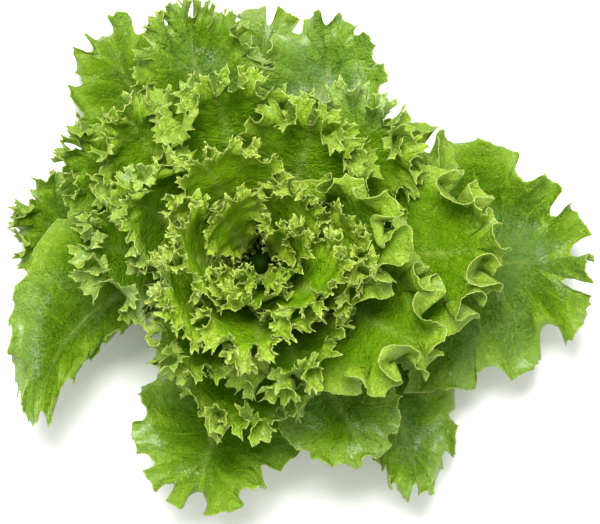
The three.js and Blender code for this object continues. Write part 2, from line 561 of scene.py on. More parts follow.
@dataclass
class Bowl:
    """The surface of revolution that a leaf lies on.

    Attributes:
        rank: 0 for the outermost leaf, 1 for the innermost.
        reach: How far along the bowl it is worked out.
        STEM: The radius of the stem at rising heights.
        LOWEST_ROOT: The height of the outermost leaf's root.
        HIGHEST_ROOT: The height of the innermost leaf's root.
        GAP: The gap between stem and root.
        LOWEST_RISE: The slope of the outermost bowl at its root, in degrees.
        HIGHEST_RISE: The same for the innermost.
        RISE_POWER: How the slope grows with the rank.
        ARCH: How much a bowl levels out over the arch length, in degrees.
        ARCH_LENGTH: The length over which it does.
        STEPS: The number of steps in which a bowl is worked out.
    """

    rank: float
    reach: float

    STEM = ((16.5, 0), (18, 2.5), (18, 12), (15.5, 24), (5, 62))
    LOWEST_ROOT = 9
    HIGHEST_ROOT = 58
    GAP = 0.3
    LOWEST_RISE = 6
    HIGHEST_RISE = 82
    RISE_POWER = 0.76
    ARCH = 26
    ARCH_LENGTH = 150
    STEPS = 240

    def __post_init__(self) -> None:
        """Work out the bowl's profile."""
        root = self.LOWEST_ROOT + (self.HIGHEST_ROOT - self.LOWEST_ROOT) * self.rank
        radii, heights = zip(*self.STEM)
        start = np.interp(root, heights, radii) + self.GAP
        self.distances = np.linspace(0, self.reach, self.STEPS + 1)
        step = self.distances[1]
        slopes = self.climb(self.distances[:-1] + step / 2)
        self.radii = start + np.concatenate([[0], np.cumsum(np.cos(slopes)) * step])
        self.heights = root + np.concatenate([[0], np.cumsum(np.sin(slopes)) * step])

    def climb(self, distance: np.ndarray) -> np.ndarray:
        """Work out the slope of the bowl.

        Args:
            distance: The distance from the root.

        Returns:
            The slope there, in radians.
        """
        rise = self.HIGHEST_RISE - self.LOWEST_RISE
        first = self.LOWEST_RISE + rise * self.rank**self.RISE_POWER
        return np.radians(first - self.ARCH * np.maximum(distance, 0) / self.ARCH_LENGTH)

    def radius(self, distance: np.ndarray) -> np.ndarray:
        """Return the radius of the bowl at a distance from the root."""
        inside = np.minimum(distance, 0) * np.cos(self.climb(np.zeros(1)))
        return np.interp(distance, self.distances, self.radii) + inside

    def height(self, distance: np.ndarray) -> np.ndarray:
        """Return the height of the bowl at a distance from the root."""
        return np.interp(distance, self.distances, self.heights)


@dataclass
class Leaf:
    """One leaf as it would lie flat on its bowl.

    Attributes:
        name: The name of the CAD node that it stands for.
        order: Its place from the outside in.
        rank: Its place as a share, 0 outermost and 1 innermost.
        ring: Where it stands, which sets its finish.
        heading: The direction in which it grows, in degrees.
        length: The length from root to tip.
        half_width: Half the width at the widest place.
        bend: How far the tip turns sideways, in degrees.
        lean: How much wider its left side is than its right, as a share.
        strength: How strongly its margin is grown, where 1 is usual.
        ruffle: How its margin is ruffled, if not as is usual for its ring.
        BOWL_OVERHANG: How far its bowl is worked out, in leaf lengths.
        FULLNESS: Makes the widest place as wide as the half width says.
        WIDEST_STALK: Half the width of the outermost leaf's stalk.
        NARROWEST_STALK: The same for the innermost.
        ROOT_WRAP: How far round the stem the root may go to each side, in degrees.
        FULL_WRAP: The same for the blade.
        WRAP_LENGTH: Over which length the one turns into the other.
    """

    name: str
    order: int
    rank: float
    ring: Ring
    heading: float
    length: float
    half_width: float
    bend: float = 0.0
    lean: float = 0.0
    strength: float = 1.0
    ruffle: Ruffle | None = None

    BOWL_OVERHANG = 1.15
    FULLNESS = 2.6
    WIDEST_STALK = 8
    NARROWEST_STALK = 3
    ROOT_WRAP = 24
    FULL_WRAP = 50
    WRAP_LENGTH = 45

    def __post_init__(self) -> None:
        """Give the leaf its bowl."""
        self.bowl = Bowl(self.rank, self.length * self.BOWL_OVERHANG)
        self.stalk = self.WIDEST_STALK + (self.NARROWEST_STALK - self.WIDEST_STALK) * self.rank

    def width_at(self, distance: np.ndarray, side: np.ndarray) -> np.ndarray:
        """Work out the half width of the flat leaf.

        Args:
            distance: The distance from the root.
            side: Above 0 for the left side and below 0 for the right one.

        Returns:
            The half width there.
        """
        share = np.clip(distance / self.length, 0, 1)
        fan = self.half_width * self.FULLNESS * share * np.sqrt(1 - share)
        width = fan * (1 + self.lean * np.sign(side)) + self.stalk * (1 - share) ** 2
        opening = smoothstep(distance, 0, self.WRAP_LENGTH)
        wrap = np.radians(self.ROOT_WRAP + (self.FULL_WRAP - self.ROOT_WRAP) * opening)
        return np.minimum(width, wrap * self.bowl.radius(distance))

    def turn(self, across: np.ndarray, distance: np.ndarray) -> np.ndarray:
        """Work out the direction of a point on the leaf from the rosette's axis.

        Args:
            across: How far it is to the left of the midrib.
            distance: How far it is from the root.

        Returns:
            The direction, in radians.
        """
        bend = self.bend * (distance / self.length) ** 2
        return np.radians(self.heading + bend) + across / self.bowl.radius(distance)


class Room:
    """How far each place on a leaf may swing up and down before it meets a neighbour.

    Attributes:
        ROWS: The number of places from root to tip.
        COLUMNS: The number of places from side to side.
        HALF_WIDTHS: Half widths of leaves.
        TALLEST: How far a leaf of each half width swings at most.
        OVERHANG: How far the room is worked out, in leaf sizes.
        NEAR_TIP: Where a neighbour's width is taken for a place past its tip.
        SHARE_OF_GAP: How much of the gap to a neighbour is the leaf's own.
        RIM: How far inside a neighbour's outline the room starts to open.
        RIM_SLOPE: How steeply it opens from there.
        FLOOR: How far the outermost leaf stays above the floor.
        FLOOR_STEP: How much more the next leaf does.
        LEAST: The least room there is below.
    """

    ROWS = 16
    COLUMNS = 17
    HALF_WIDTHS = (20, 40, 62)
    TALLEST = (10, 15, 24)
    OVERHANG = 1.1
    NEAR_TIP = 0.97
    SHARE_OF_GAP = 0.46
    RIM = -5.0
    RIM_SLOPE = 1.1
    FLOOR = 0.6
    FLOOR_STEP = 0.5
    LEAST = 0.1

    def __init__(self, leaf: Leaf, leaves: list[Leaf]) -> None:
        """Measure the room.

        Args:
            leaf: The leaf that swings.
            leaves: All leaves of the rosette.
        """
        tallest = float(np.interp(leaf.half_width, self.HALF_WIDTHS, self.TALLEST))
        self.distances = np.linspace(0, leaf.length * self.OVERHANG, self.ROWS)
        self.sides = np.linspace(-self.OVERHANG, self.OVERHANG, self.COLUMNS) * leaf.half_width
        distance, across = np.meshgrid(self.distances, self.sides, indexing="ij")
        radius, height = leaf.bowl.radius(distance), leaf.bowl.height(distance)
        slope = leaf.bowl.climb(distance)
        turn = leaf.turn(across, distance)
        self.up = np.full(distance.shape, tallest)
        self.down = np.full(distance.shape, tallest)
        for other in leaves:
            if other is leaf:
                continue
            rise = (other.bowl.height(distance) - height) * np.cos(slope)
            gap = np.abs(rise - (other.bowl.radius(distance) - radius) * np.sin(slope))
            aside = (turn - other.turn(np.zeros(1), distance) + math.pi) % TURN - math.pi
            inside = np.minimum(distance, other.length * self.NEAR_TIP)
            beyond = np.abs(aside) * other.bowl.radius(distance) - other.width_at(inside, aside)
            beyond = np.maximum(beyond, distance - other.length)
            free = self.SHARE_OF_GAP * gap + np.maximum(beyond - self.RIM, 0) * self.RIM_SLOPE
            if other.order > leaf.order:
                self.up = np.minimum(self.up, free)
            else:
                self.down = np.minimum(self.down, free)
        floor = height - self.FLOOR - self.FLOOR_STEP * leaf.order
        self.down = np.minimum(self.down, np.maximum(floor, self.LEAST))

    def limit(self, points: np.ndarray) -> None:
        """Press points back into the room that they have.

        Args:
            points: Rows of points of across, distance and swing, which are changed.
        """
        row_step = self.distances[1] - self.distances[0]
        side_step = self.sides[1] - self.sides[0]
        row = np.clip(points[..., 1] / row_step, 0, self.ROWS - 1.001)
        side = np.clip((points[..., 0] - self.sides[0]) / side_step, 0, self.COLUMNS - 1.001)
        i, j = row.astype(int), side.astype(int)
        a, b = row - i, side - j
        shares = ((1 - a) * (1 - b), a * (1 - b), (1 - a) * b, a * b)
        corners = ((i, j), (i + 1, j), (i, j + 1), (i + 1, j + 1))
        up = sum(share * self.up[corner] for share, corner in zip(shares, corners))
        down = sum(share * self.down[corner] for share, corner in zip(shares, corners))
        points[..., 2] = np.clip(points[..., 2], -down, up)


def cusps(rng: np.random.Generator, places: np.ndarray, pitch: float, power: float) -> np.ndarray:
    """Set sharp tips with round hollows between them along a line.

    Args:
        rng: The source of their uneven spacing.
        places: Rising places along the line, from 0.
        pitch: The mean distance between tips.
        power: How sharp the tips are.

    Returns:
        1 at a tip and 0 in the middle of a hollow, for each place.
    """
    count = int(places[-1] / (0.6 * pitch)) + 2
    tips = np.concatenate([[0], np.cumsum(rng.uniform(0.4, 1.7, count) * pitch)])
    skews = rng.uniform(0.75, 1.3, count + 1)
    heights = rng.uniform(0.05, 1.0, count + 2) ** 1.3 * 1.5
    nearest = np.searchsorted(tips, places, side="right") - 1
    share = (places - tips[nearest]) / (tips[nearest + 1] - tips[nearest])
    share = share ** skews[nearest]
    left = heights[nearest] * np.maximum(1 - 2 * share, 0) ** power
    right = heights[nearest + 1] * np.maximum(2 * share - 1, 0) ** power
    return left + right


def bays(rng: np.random.Generator, places: np.ndarray, pitch: float, width: float) -> np.ndarray:
    """Set round bays with straight lobes between them along a line.

    Args:
        rng: The source of their uneven spacing.
        places: Rising places along the line, from 0.
        pitch: The mean distance between bays.
        width: The width of a bay as a share of the pitch.

    Returns:
        About 1 in the middle of a bay and 0 on a lobe, for each place.
    """
    count = int(places[-1] / (0.6 * pitch)) + 2
    middles = np.cumsum(rng.uniform(0.8, 1.25, count) * pitch)
    depths = rng.uniform(0.6, 1.2, count)
    halves = rng.uniform(0.7, 1.1, count) * width * pitch / 2
    nearest = np.abs(places[:, None] - middles).argmin(axis=1)
    aside = (places - middles[nearest]) / halves[nearest]
    return depths[nearest] * np.clip(1 - aside**2, 0, 1) ** 0.4


class Sheet:
    """A thin sheet that buckles: rows of points from the margin in to the midrib.

    A point is across, distance and swing: where it lies on the bowl and how far off it.

    Attributes:
        ROWS: The number of rows, which lie closer together near the margin.
        ROW_POWER: How much closer.
        INNER_SHARE: How far in the rows go that are spaced so.
        LAST_ROWS: How far in the others are.
        VEIN_RAKE: How far along the midrib a vein starts, as a share of where it ends.
        HOLD: How firmly the midrib keeps its place.
        HOLD_FROM: How far in that starts.
        CALM: How much of the blade's folds is taken away in each round.
        CALM_DEPTHS: Where that starts and where it is full, from the margin.
        STIFFNESS: How strongly the margin keeps from creasing.
        VEIN_STIFFNESS: The same for a vein.
        ROW_SPAN: The least distance across two steps of a row, as a share of their length.
        COLUMN_SPAN: The same for two steps of a vein.
        SHEAR: How strongly the sheet keeps its squares square.
        OUTLINE_STEPS: In how many steps the flat outline is measured.
        MEASURE_STEPS: In how many steps its length is.
        ONSET: Where on the leaf's length growth starts and where it is full.
        TOOTH_ONSET: The same for the teeth.
        BLOCK: How many columns of the finished sheet start as one.
        ROUNDS: How long each size of frill settles, coarse to fine.
        JITTER: The uneven start that each size grows from.
        STARTING_WAVES: The number of waves that the large folds grow from.
        STARTING_SWING: The height of these waves.
        STARTING_REACH: How far in they go.
        STAGES: In how many stages the large folds grow.
        STAGE_ROUNDS: How long each stage settles.
        STAGE_STIFFNESS: How strongly the margin keeps from creasing meanwhile.
        FOLD_SPREAD: How far in the folds fade out, against their reach.
        CUP_REACH: How far in the cupped rim goes.
        SWELLS: The pitch of the blade's swells and their height as a share of its length.
        SURGE: How much the growth of the margin rises and falls.
        SURGE_PITCH: Over which distance it does.
        DEEPEST_CUT: The most that is cut off a vein, as a share of it.
        TOOTH_SHARPNESS: How sharp the teeth are.
        TOOTH_ROOT: How far the second row is drawn out, as a share of a tooth's height.
        SOFTEN: The weights that even out three neighbours.
    """

    ROWS = 13
    ROW_POWER = 1.7
    INNER_SHARE = 0.88
    LAST_ROWS = (0.955, 1.0)
    VEIN_RAKE = 0.78
    HOLD = 0.25
    HOLD_FROM = 0.35
    CALM = 0.2
    CALM_DEPTHS = (8, 28)
    STIFFNESS = 0.35
    VEIN_STIFFNESS = 0.6
    ROW_SPAN = 0.93
    COLUMN_SPAN = 0.985
    SHEAR = 0.35
    OUTLINE_STEPS = 2000
    MEASURE_STEPS = 400
    ONSET = (0.12, 0.5)
    TOOTH_ONSET = (0.2, 0.5)
    BLOCK = 16
    ROUNDS = (60, 60, 45, 30)
    JITTER = (0.8, 0.5, 0.35, 0.25)
    STARTING_WAVES = 24
    STARTING_SWING = 3.0
    STARTING_REACH = 15.0
    STAGES = 6
    STAGE_ROUNDS = 30
    STAGE_STIFFNESS = 0.5
    FOLD_SPREAD = 2.2
    CUP_REACH = 14.0
    SWELLS = ((75.0, 0.04), (30.0, 0.011), (17.0, 0.005))
    SURGE = 0.4
    SURGE_PITCH = 70.0
    DEEPEST_CUT = 0.45
    TOOTH_SHARPNESS = 2.2
    TOOTH_ROOT = 0.4
    SOFTEN = (0.25, 0.5, 0.25)

    def __init__(self, leaf: Leaf, room: Room, seed: int) -> None:
        """Lay the sheet flat.

        Args:
            leaf: The leaf that it is.
            room: The room that it has.
            seed: Sets its own folds.
        """
        self.leaf = leaf
        self.room = room
        self.frill = (leaf.ruffle or USUAL_RUFFLE[leaf.ring]).value
        self.rng = np.random.default_rng(seed)
        inner = np.linspace(0, 1, self.ROWS - len(self.LAST_ROWS)) ** self.ROW_POWER
        self.shares = np.concatenate([inner * self.INNER_SHARE, self.LAST_ROWS])
        self.sway = self.rng.uniform(-1, 1, (len(self.SWELLS), 4, 3))
        self.surges = self.rng.random((3, 2))
        self.points = np.zeros((0, 0, 3))

    def margin(self, columns: int) -> tuple[np.ndarray, np.ndarray, np.ndarray]:
        """Space columns evenly along the flat margin.

        Args:
            columns: How many steps there are from root to root.

        Returns:
            Across and distance of each margin point, and the distance of its vein's foot.
        """
        angle = np.linspace(-math.pi, math.pi, self.OUTLINE_STEPS + 1)
        distance = self.leaf.length * (1 - np.sin(angle / 2) ** 2)
        across = np.sign(angle) * self.leaf.width_at(distance, angle)
        steps = np.hypot(np.diff(distance), np.diff(across))
        middle = (distance[1:] + distance[:-1]) / 2 / self.leaf.length
        weight = 0.35 + 0.65 * smoothstep(middle, 0.1, 0.45)
        run = np.concatenate([[0], np.cumsum(steps * weight)])
        wanted = np.linspace(0, run[-1], columns + 1)
        distance = np.interp(wanted, run, distance)
        across = np.interp(wanted, run, across)
        foot = self.VEIN_RAKE * distance * (distance / self.leaf.length) ** 0.3
        return across, distance, foot

    def lay(self, columns: int) -> None:
        """Work out the flat sheet and what its growth depends on.

        Args:
            columns: How many steps the margin has.
        """
        across, distance, foot = self.margin(columns)
        inward = self.shares[:, None]
        self.flat = np.zeros((len(self.shares), columns + 1, 3))
        self.flat[..., 0] = across * (1 - inward)
        self.flat[..., 1] = distance * (1 - inward) + foot * inward
        self.depth = inward * np.hypot(across, distance - foot)
        self.onset = smoothstep(distance / self.leaf.length, *self.ONSET)[None]
        self.vigour = self.leaf.strength * self.onset * self.surge()
        hold = smoothstep(self.shares, self.HOLD_FROM, 1.0) ** 1.5
        self.hold = self.HOLD * hold[:, None, None]
        self.calm = 1 - self.CALM * smoothstep(self.depth, *self.CALM_DEPTHS)
        self.lie = self.blade_swing()

    def surge(self) -> np.ndarray:
        """Work out how much more or less than usual each place of the margin grows.

        Returns:
            The growth as a share of the usual one.
        """
        run = self.margin_run(self.flat)
        share = np.ones(len(run))
        for pitch, start in self.surges:
            share += self.SURGE * np.sin(TURN * (run / (self.SURGE_PITCH * (0.5 + pitch)) + start))
        return np.maximum(share, 0.3)

    def blade_swing(self) -> np.ndarray:
        """Work out how the blade lies off its bowl: broad waves, smaller swells, a cupped rim.

        Returns:
            The swing of each point, in millimetres.
        """
        across, distance = self.flat[..., 0], self.flat[..., 1]
        share = smoothstep(distance / self.leaf.length, 0.15, 0.9)
        swing = np.zeros(across.shape)
        for (pitch, height), waves in zip(self.SWELLS, self.sway):
            for strength, turn, start in waves:
                phase = across * math.cos(turn * math.pi) + distance * math.sin(turn * math.pi)
                swing += height * strength * np.sin(TURN * (phase / pitch + start))
        rim = self.frill.cup * self.leaf.strength * np.exp(-((self.depth / self.CUP_REACH) ** 2))
        return swing * share * self.leaf.length + rim * self.onset

    def rest_lengths(self, growth: np.ndarray) -> None:
        """Set the lengths that the sheet wants.

        Args:
            growth: How many times its flat width each place wants to be.
        """
        rows = length(self.flat[:, 1:] - self.flat[:, :-1])
        self.row_rest = rows * 0.5 * (growth[:, 1:] + growth[:, :-1])
        self.column_rest = length(self.flat[1:] - self.flat[:-1])
        width = 0.5 * (self.row_rest[1:] + self.row_rest[:-1])
        height = 0.5 * (self.column_rest[:, 1:] + self.column_rest[:, :-1])
        self.diagonal_rest = np.hypot(width, height)
        self.row_span = (self.row_rest[:, 1:] + self.row_rest[:, :-1]) * self.ROW_SPAN
        self.column_span = (self.column_rest[1:] + self.column_rest[:-1]) * self.COLUMN_SPAN

    @staticmethod
    def pull(
        a: np.ndarray, b: np.ndarray, rest: np.ndarray, share: float, push: bool = False
    ) -> None:
        """Move pairs of points towards their wanted distance.

        Args:
            a: The first points, which are changed.
            b: The second points, which are changed.
            rest: The wanted distances.
            share: How much of the error is taken away.
            push: Whether pairs are only pushed apart.
        """
        gap = b - a
        distance = length(gap)
        error = (distance - rest) / distance
        if push:
            error = np.minimum(error, 0)
        move = (0.5 * share * error)[..., None] * gap
        a += move
        b -= move

    def relax(self, rounds: int, stiffness: float) -> None:
        """Let the sheet settle.

        Args:
            rounds: How often every pair of points is looked at.
            stiffness: How strongly it keeps from creasing.
        """
        p = self.points
        rows, columns = p.shape[:2]
        for _ in range(rounds):
            for o in (0, 1):
                n = len(range(o, columns - 1, 2))
                rest = self.row_rest[:, o::2]
                self.pull(p[:, o : columns - 1 : 2], p[:, o + 1 :: 2][:, :n], rest, 1.0)
            for o in (0, 1):
                n = len(range(o, rows - 1, 2))
                self.pull(p[o : rows - 1 : 2], p[o + 1 :: 2][:n], self.column_rest[o::2], 1.0)
            for o in (0, 1):
                n = len(range(o, columns - 1, 2))
                rest = self.diagonal_rest[:, o::2]
                low, high = p[:-1, o : columns - 1 : 2], p[1:, o + 1 :: 2][:, :n]
                self.pull(low, high, rest, self.SHEAR)
                high, low = p[1:, o : columns - 1 : 2], p[:-1, o + 1 :: 2][:, :n]
                self.pull(high, low, rest, self.SHEAR)
            for o in range(4):
                first = np.arange(o, columns - 2, 4)
                a, b = p[:, first], p[:, first + 2]
                self.pull(a, b, self.row_span[:, first], stiffness, push=True)
                p[:, first], p[:, first + 2] = a, b
            for o in range(4):
                first = np.arange(o, rows - 2, 4)
                a, b = p[first], p[first + 2]
                self.pull(a, b, self.column_span[first], self.VEIN_STIFFNESS, push=True)
                p[first], p[first + 2] = a, b
            self.hold_in_place()

    def hold_in_place(self) -> None:
        """Keep the midrib in one piece, the root on the stem and the folds in their room."""
        p = self.points
        spine = 0.5 * (p[-1] + p[-1, ::-1])
        spine[:, 0] = 0.25 * (p[-1, :, 0] + p[-1, ::-1, 0])
        p[-1] = spine
        self.room.limit(p)
        p[:, 0] = self.flat[:, 0]
        p[:, -1] = self.flat[:, -1]
        p[..., :2] += (self.flat[..., :2] - p[..., :2]) * self.hold
        p[..., 2] = self.lie + (p[..., 2] - self.lie) * self.calm

    def refine(self) -> None:
        """Double the number of columns with a smooth curve through the old ones."""
        p = self.points
        rows, columns = p.shape[:2]
        finer = np.empty((rows, 2 * columns - 1, 3))
        finer[:, ::2] = p
        before = np.concatenate([p[:, :1], p[:, :-2]], 1)
        after = np.concatenate([p[:, 2:], p[:, -1:]], 1)
        finer[:, 1::2] = 0.5625 * (p[:, :-1] + p[:, 1:]) - 0.0625 * (before + after)
        self.points = finer

    def wave(self, columns: int) -> None:
        """Grow the large folds.

        Args:
            columns: How many steps the margin has.
        """
        self.lay(columns)
        self.points = self.flat.copy()
        run = self.margin_run(self.flat)
        swing = np.zeros(columns + 1)
        for _ in range(self.STARTING_WAVES):
            pitch = self.frill.wave_pitch * self.rng.uniform(0.6, 1.6)
            swing += self.rng.normal() * np.sin(TURN * (run / pitch + self.rng.random()))
        swing *= self.STARTING_SWING / np.abs(swing).max()
        near = np.exp(-self.depth / self.STARTING_REACH)
        self.points[..., 2] = self.lie + swing * near * self.onset
        reach = self.frill.wave_reach * self.leaf.half_width
        for stage in range(1, self.STAGES + 1):
            extra = self.frill.wave_growth * stage / self.STAGES
            fold = np.clip(1 - self.depth / (self.FOLD_SPREAD * reach), 0, 1) ** 2
            self.rest_lengths(1 + self.vigour * extra * fold)
            self.relax(self.STAGE_ROUNDS, self.STAGE_STIFFNESS)

    def curl(self, columns: int, extra: float, reach: float, rounds: int, start: float) -> None:
        """Grow one size of frill on the folds that are there.

        Args:
            columns: How many steps the margin has.
            extra: The extra length of the margin, as a share.
            reach: How far in it goes.
            rounds: How long it settles.
            start: The uneven start from which it grows.
        """
        self.refine()
        self.lay(columns)
        along = np.gradient(self.points, axis=1)
        inwards = np.gradient(self.points, axis=0)
        normal = np.cross(along, inwards)
        normal /= length(normal)[..., None]
        jitter = np.convolve(self.rng.normal(size=columns + 1), self.SOFTEN, "same")
        share = np.exp(-self.depth / (reach * 1.2)) * self.onset
        self.points += normal * (jitter * start * share)[..., None]
        spread = self.FOLD_SPREAD * self.frill.wave_reach * self.leaf.half_width
        fold = np.clip(1 - self.depth / spread, 0, 1)
        growth = self.frill.wave_growth * fold**2 + extra * np.exp(-self.depth / reach)
        self.rest_lengths(1 + self.vigour * growth)
        self.relax(rounds, self.STIFFNESS)

    def trim(self, cut: np.ndarray) -> None:
        """Trim the grown sheet back from its margin, along its veins.

        Args:
            cut: How much is taken off each vein, in millimetres.
        """
        p = self.points
        steps = length(np.diff(p, axis=0))
        run = np.concatenate([np.zeros((1, p.shape[1])), np.cumsum(steps, axis=0)])
        cut = np.minimum(cut * self.onset[0], self.DEEPEST_CUT * run[-1])
        wanted = cut + run * (1 - cut / run[-1])
        for column in np.flatnonzero(cut > 0):
            old = p[:, column].copy()
            for axis in range(3):
                p[:, column, axis] = np.interp(wanted[:, column], run[:, column], old[:, axis])

    def margin_run(self, points: np.ndarray) -> np.ndarray:
        """Return how far along the margin each column is."""
        return np.concatenate([[0], np.cumsum(length(np.diff(points[0], axis=0)))])

    def cut_margin(self) -> None:
        """Cut the bays between the lobes, and then the small cuts between the frills."""
        half = self.leaf.half_width
        pitch, depth, width = np.array(self.frill.lobes) * (half, half * self.leaf.strength, 1)
        self.trim(depth * bays(self.rng, self.margin_run(self.flat), pitch, width))
        pitch, depth, width = self.frill.cuts
        self.trim(depth * bays(self.rng, self.margin_run(self.points), pitch, width))

    def cut_teeth(self) -> None:
        """Draw the margin out into teeth with round hollows between them."""
        p = self.points
        outward = p[0] - p[1]
        outward /= length(outward)[:, None]
        run = self.margin_run(p)
        tips = cusps(self.rng, run, self.frill.tooth_pitch, self.TOOTH_SHARPNESS)
        spread = smoothstep(self.flat[0, :, 1] / self.leaf.length, *self.TOOTH_ONSET)
        height = tips * self.frill.tooth_height * self.frill.tooth_pitch * spread
        p[0] += outward * height[:, None]
        smooth = np.convolve(height, self.SOFTEN, "same") * self.TOOTH_ROOT
        p[1] += outward * smooth[:, None]

    def grow(self, coarse: bool) -> np.ndarray:
        """Grow the leaf from flat to finished.


        Returns:
            The points of the finished sheet.
        """
        across, distance, _ = self.margin(self.MEASURE_STEPS)
        run = np.hypot(np.diff(across), np.diff(distance)).sum()
        blocks = round(run * self.frill.density / (2 if coarse else 1) / self.BLOCK)
        self.wave(blocks)
        for level, (extra, reach) in enumerate(self.frill.curls):
            blocks *= 2
            self.curl(blocks, extra, reach, self.ROUNDS[level], self.JITTER[level])
        self.cut_margin()
        self.cut_teeth()
        return self.points


class LeafMesh:
    """Turns a grown sheet into a closed, dressed leaf.

    Attributes:
        STRIDES: How many columns one triangle spans in each row, from the margin in.
        THICKEST: The thickness of the outermost leaf's rib at its root.
        BLADE_SHARE: The thickness of the blade as a share of that.
        RIB_HALF_WIDTH: Half the width of the rib at the root.
        RIB_TIP_HALF_WIDTH: The same at the tip.
        THICKNESS_LEVELS: In how many levels the thickness is told apart.
        SMOOTHED_FROM: The least stride whose row is evened out.
        EDGE_ROWS: The number of rows that may lie close to the margin beside them.
        EDGE_COLUMNS: How many columns to each side are looked at for that.
        LOWEST: The lowest that the outermost leaf goes.
        LOWEST_STEP: How much higher the next leaf stays.
    """

    STRIDES = (1, 1, 2, 2, 4, 4, 4, 8, 8, 8, 16, 16, 16)
    THICKEST = 3.2
    BLADE_SHARE = 0.14
    RIB_HALF_WIDTH = 6.0
    RIB_TIP_HALF_WIDTH = 0.8
    THICKNESS_LEVELS = 50
    SMOOTHED_FROM = 4
    EDGE_ROWS = 4
    EDGE_COLUMNS = 8
    LOWEST = 0.9
    LOWEST_STEP = 0.6

    def __init__(self, leaf: Leaf, sheet: Sheet) -> None:
        """Keep the leaf and its sheet.

        Args:
            leaf: The leaf.
            sheet: Its grown sheet.
        """
        self.leaf = leaf
        self.sheet = sheet

    def smooth(self) -> None:
        """Even out each row over the columns that its triangles pass over."""
        for line, stride in zip(self.sheet.points, self.STRIDES):
            if stride < self.SMOOTHED_FROM:
                continue
            weights = np.hanning(2 * stride + 3)[1:-1]
            padded = np.pad(line, ((stride, stride), (0, 0)), mode="edge")
            for axis in range(3):
                line[:, axis] = np.convolve(padded[:, axis], weights / weights.sum(), "valid")

    def place(self) -> np.ndarray:
        """Work out where the sheet's points are.

        Returns:
            The points, in millimetres.
        """
        across, distance, swing = np.moveaxis(self.sheet.points, -1, 0)
        bowl = self.leaf.bowl
        slope = bowl.climb(distance)
        turn = self.leaf.turn(across, distance)
        radius = bowl.radius(distance) - swing * np.sin(slope)
        height = bowl.height(distance) + swing * np.cos(slope)
        height = np.maximum(height, self.LOWEST + self.LOWEST_STEP * self.leaf.order)
        return np.stack([radius * np.cos(turn), radius * np.sin(turn), height], -1)

    def edge_distance(self, points: np.ndarray) -> np.ndarray:
        """Measure how far each point is from the margin.

        Args:
            points: The placed points.

        Returns:
            The distance in millimetres.
        """
        steps = length(points[1:] - points[:-1])
        distance = np.concatenate([np.zeros((1, points.shape[1])), np.cumsum(steps, axis=0)])
        for row in range(1, self.EDGE_ROWS + 1):
            for shift in range(-self.EDGE_COLUMNS, self.EDGE_COLUMNS + 1):
                aside = length(points[row] - np.roll(points[0], shift, axis=0))
                distance[row] = np.minimum(distance[row], aside)
        return distance

    def faces(self) -> np.ndarray:
        """List the triangles, with fewer columns the further in they are.

        Returns:
            Three grid places, as row times width plus column, for each triangle.
        """
        columns = self.sheet.points.shape[1] - 1
        width = columns + 1
        found = []
        for row, (near, far) in enumerate(zip(self.STRIDES, self.STRIDES[1:])):
            start = np.arange(0, columns, far)
            low, high = row * width + start, (row + 1) * width + start
            if near == far:
                found.append(np.stack([low, low + far, high + far], -1))
                found.append(np.stack([low, high + far, high], -1))
            else:
                found.append(np.stack([high, low, low + near], -1))
                found.append(np.stack([high, low + near, high + far], -1))
                found.append(np.stack([high + far, low + near, low + far], -1))
        return np.concatenate(found)

    def build(self, material: bpy.types.Material) -> bpy.types.Object:
        """Make the leaf.

        Args:
            material: Its skin.

        Returns:
            The leaf, with its thickness applied.
        """
        self.smooth()
        points = self.place()
        rows, width = points.shape[:2]
        faces = self.faces()
        row, column = np.divmod(faces, width)
        shared = np.where(row == rows - 1, np.minimum(column, width - 1 - column), column)
        used, corners = np.unique(row * width + shared, return_inverse=True)
        corners = corners.reshape(faces.shape)
        whole = (corners[:, 0] != corners[:, 1]) & (corners[:, 1] != corners[:, 2])
        whole &= corners[:, 0] != corners[:, 2]
        corners, row, column = corners[whole], row[whole], column[whole]
        mesh = bpy.data.meshes.new(f"{self.leaf.name}_blade")
        mesh.from_pydata((points.reshape(-1, 3)[used] * MM).tolist(), [], corners.tolist())
        layer = mesh.uv_layers.new(name="leaf")
        uv = np.stack([column / (width - 1), self.sheet.shares[row]], -1)
        layer.data.foreach_set("uv", uv.astype(np.float32).ravel())
        across, distance = self.sheet.flat[..., 0], self.sheet.flat[..., 1]
        left = np.clip(1 - distance / self.leaf.length, 0, 1)
        half = self.RIB_HALF_WIDTH * left + self.RIB_TIP_HALF_WIDTH
        rib = np.clip(1 - np.abs(across) / half, 0, 1) * left**0.8
        values = {"edge": self.edge_distance(points), "rib": np.clip(rib * 1.3, 0, 1)}
        for name, value in values.items():
            attribute = mesh.attributes.new(name, "FLOAT", "POINT")
            attribute.data.foreach_set("value", value.ravel()[used].astype(np.float32))
        piece = bpy.data.objects.new(f"{self.leaf.name}_blade", mesh)
        bpy.context.scene.collection.objects.link(piece)
        mesh.materials.append(material)
        ridge = (1 - (1 - rib) ** 2) * left
        self.thicken(piece, self.BLADE_SHARE + (1 - self.BLADE_SHARE) * ridge.ravel()[used])
        return piece

